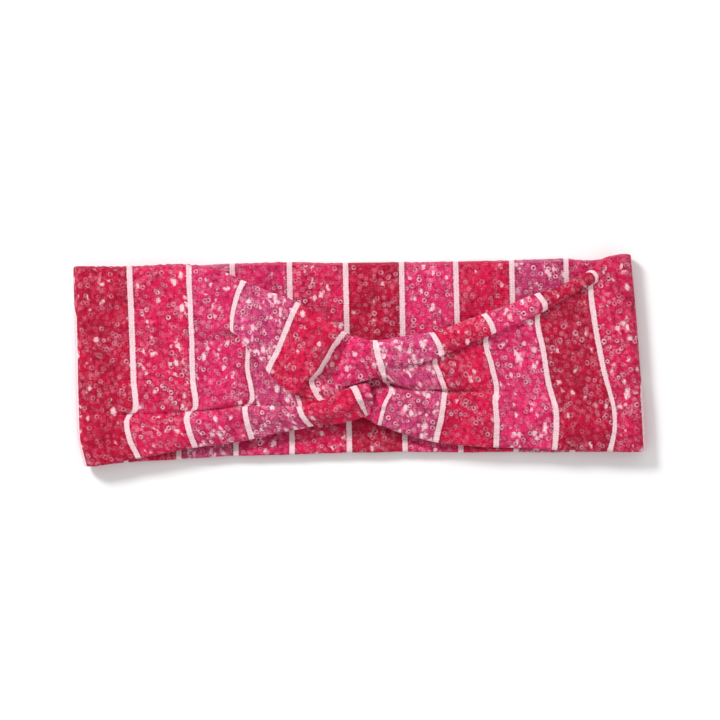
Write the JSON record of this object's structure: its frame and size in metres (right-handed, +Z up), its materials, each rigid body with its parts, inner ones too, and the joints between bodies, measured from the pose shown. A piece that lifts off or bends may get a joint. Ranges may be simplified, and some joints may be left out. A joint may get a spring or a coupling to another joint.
{
  "type": "twist headband",
  "caption": "Wide stretch headband of doubled printed jersey, laid flat, with the two front halves hooked round each other in a twist and sewn.",
  "frame": {"origin": "on the table, under the middle of the flat loop", "axes": "+X along the loop from one fold to the other, +Y across the band towards the tube's long seam, +Z up off the table"},
  "size_m": [0.24, 0.089, 0.0165],
  "materials": {
    "jersey": "printed brushed stretch knit, matt with a little glitter print",
    "thread": "textured polyester overlock thread"
  },
  "bodies": {
    "root": {"back_band": "jersey", "left_turn": "jersey", "right_turn": "jersey", "front_left_band": "jersey", "front_right_band": "jersey", "twist_left_wrap": "jersey", "twist_right_wrap": "jersey", "join_allowance": "jersey", "join_stitches": "thread", "back_tube_seam": "thread", "left_tube_seam": "thread", "right_tube_seam": "thread"}
  },
  "joints": []
}
